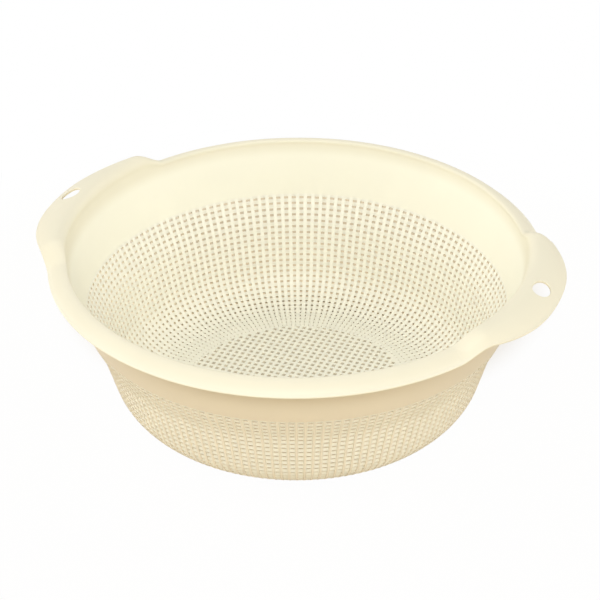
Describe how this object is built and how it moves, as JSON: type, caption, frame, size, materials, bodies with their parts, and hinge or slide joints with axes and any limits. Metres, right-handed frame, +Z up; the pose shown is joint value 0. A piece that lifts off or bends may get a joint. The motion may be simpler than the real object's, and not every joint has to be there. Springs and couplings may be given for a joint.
{
  "type": "colander",
  "caption": "Round moulded plastic colander with a mesh wall and floor, a plain band, a curled rim and two raised ears with hanging holes; drains washed food.",
  "frame": {"origin": "under the bowl's centre, on the surface that its foot ring stands on", "axes": "+Z up along the bowl's axis; +X through the middle of one ear, so the ears lie on X"},
  "size_m": [0.305, 0.2798, 0.1072],
  "materials": {
    "ivory_plastic": "satin moulded ivory polypropylene, slightly translucent"
  },
  "bodies": {
    "root": {"foot_ring": "ivory_plastic", "floor_grid": "ivory_plastic", "floor_ring": "ivory_plastic", "corner_mesh": "ivory_plastic", "wall_mesh": "ivory_plastic", "plain_band": "ivory_plastic", "rim_front": "ivory_plastic", "rim_back": "ivory_plastic", "ear_left": "ivory_plastic", "ear_right": "ivory_plastic"}
  },
  "joints": []
}
